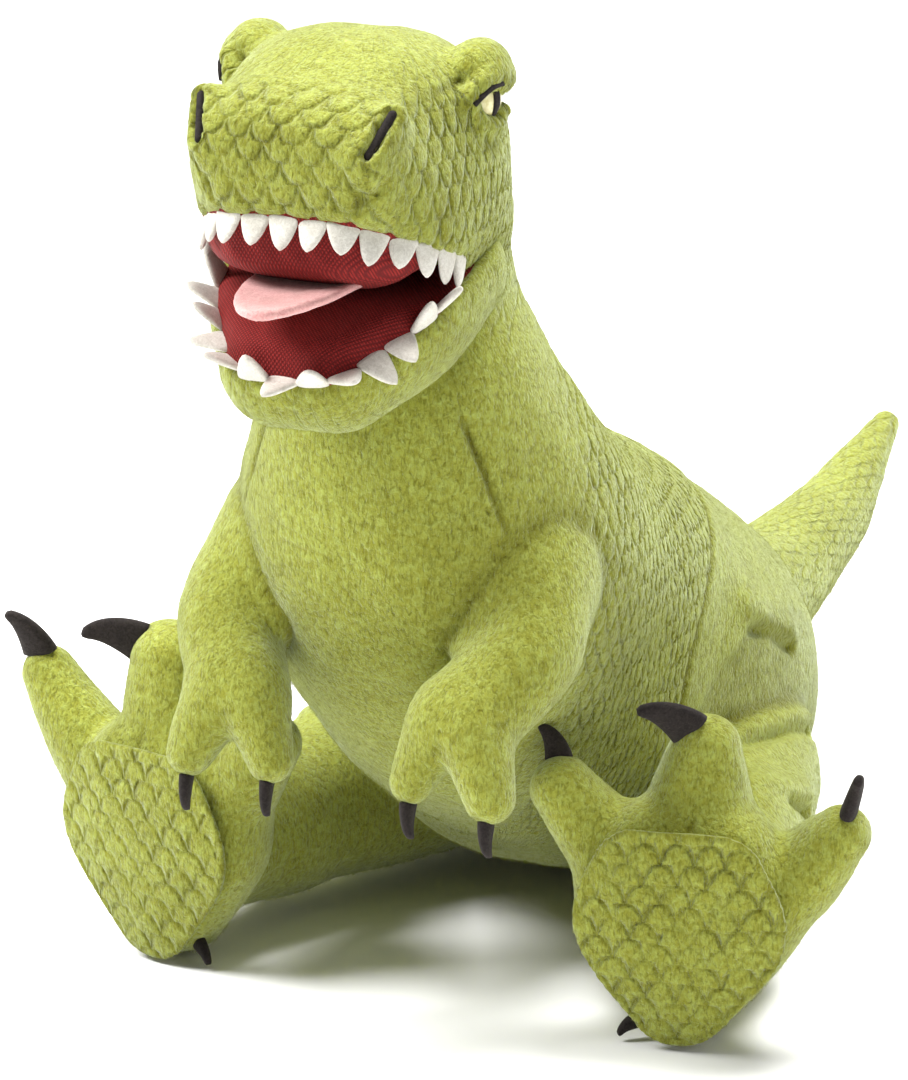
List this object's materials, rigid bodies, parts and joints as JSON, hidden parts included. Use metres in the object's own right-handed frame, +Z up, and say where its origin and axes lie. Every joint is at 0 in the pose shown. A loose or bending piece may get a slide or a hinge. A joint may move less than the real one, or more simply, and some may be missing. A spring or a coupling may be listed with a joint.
{
  "type": "stuffed dinosaur",
  "caption": "Seated plush dinosaur with an open toothed mouth, short arms, stitched scaly feet and a tapered tail, made to sit upright on a floor or shelf.",
  "frame": {"origin": "on the flat seat under the rump, on the plane that the toy sits on", "axes": "+Z up, the face looks along -Y, the toy's left is +X"},
  "size_m": [0.425, 0.7088, 0.4416],
  "materials": {
    "green_plush": "matte",
    "scaled_plush": "matte",
    "filling": "matte",
    "red_cloth": "matte",
    "pink_felt": "matte",
    "cream_felt": "matte",
    "black_felt": "matte",
    "eye_yellow": "gloss"
  },
  "bodies": {
    "torso": {"torso_skin": "green_plush", "torso_stuffing": "filling"},
    "tail": {"tail_skin": "green_plush", "tail_stuffing": "filling"},
    "head": {"head_skin": "scaled_plush", "head_stuffing": "filling", "palate_lining": "red_cloth", "upper_teeth": "cream_felt", "left_eye": "eye_yellow", "right_eye": "eye_yellow", "left_pupil": "black_felt", "right_pupil": "black_felt", "left_brow": "green_plush", "right_brow": "green_plush", "left_nostril": "black_felt", "right_nostril": "black_felt"},
    "jaw": {"jaw_skin": "green_plush", "jaw_stuffing": "filling", "jaw_lining": "red_cloth", "lower_teeth": "cream_felt", "tongue": "pink_felt"},
    "left_arm": {"left_arm_skin": "green_plush", "left_arm_stuffing": "filling", "left_inner_finger": "green_plush", "left_outer_finger": "green_plush", "left_arm_claws": "black_felt"},
    "left_leg": {"left_leg_skin": "green_plush", "left_leg_stuffing": "filling"},
    "left_foot": {"left_foot_skin": "green_plush", "left_foot_stuffing": "filling", "left_sole_panel": "scaled_plush", "left_inner_toe": "green_plush", "left_middle_toe": "green_plush", "left_outer_toe": "green_plush", "left_toe_claws": "black_felt", "left_heel_claw": "black_felt"},
    "right_arm": {"right_arm_skin": "green_plush", "right_arm_stuffing": "filling", "right_inner_finger": "green_plush", "right_outer_finger": "green_plush", "right_arm_claws": "black_felt"},
    "right_leg": {"right_leg_skin": "green_plush", "right_leg_stuffing": "filling"},
    "right_foot": {"right_foot_skin": "green_plush", "right_foot_stuffing": "filling", "right_sole_panel": "scaled_plush", "right_inner_toe": "green_plush", "right_middle_toe": "green_plush", "right_outer_toe": "green_plush", "right_toe_claws": "black_felt", "right_heel_claw": "black_felt"}
  },
  "joints": [
    {"name": "neck_nod", "type": "hinge", "parent": "torso", "child": "head", "pos_m": [0, -0.222, 0.32], "axis": [1, 0, 0], "range_deg": [-12, 12]},
    {"name": "jaw_open", "type": "hinge", "parent": "head", "child": "jaw", "pos_m": [0, -0.298, 0.338], "axis": [1, 0, 0], "range_deg": [-11, 8]},
    {"name": "left_shoulder", "type": "hinge", "parent": "torso", "child": "left_arm", "pos_m": [0.064, -0.246, 0.21], "axis": [-1, 0, 0], "range_deg": [-10, 50]},
    {"name": "left_hip", "type": "hinge", "parent": "torso", "child": "left_leg", "pos_m": [0.062, -0.046, 0.054], "axis": [1, 0, 0], "range_deg": [-2, 55]},
    {"name": "left_ankle", "type": "hinge", "parent": "left_leg", "child": "left_foot", "pos_m": [0.12, -0.192, 0.042], "axis": [1, 0, 0], "range_deg": [-4, 12]},
    {"name": "right_shoulder", "type": "hinge", "parent": "torso", "child": "right_arm", "pos_m": [-0.064, -0.246, 0.21], "axis": [-1, 0, 0], "range_deg": [-10, 50]},
    {"name": "right_hip", "type": "hinge", "parent": "torso", "child": "right_leg", "pos_m": [-0.062, -0.046, 0.054], "axis": [1, 0, 0], "range_deg": [-2, 55]},
    {"name": "right_ankle", "type": "hinge", "parent": "right_leg", "child": "right_foot", "pos_m": [-0.12, -0.192, 0.042], "axis": [1, 0, 0], "range_deg": [-4, 12]},
    {"name": "tail_swing", "type": "hinge", "parent": "torso", "child": "tail", "pos_m": [0, 0.052, 0.084], "axis": [0, 0, 1], "range_deg": [-22, 22]}
  ]
}
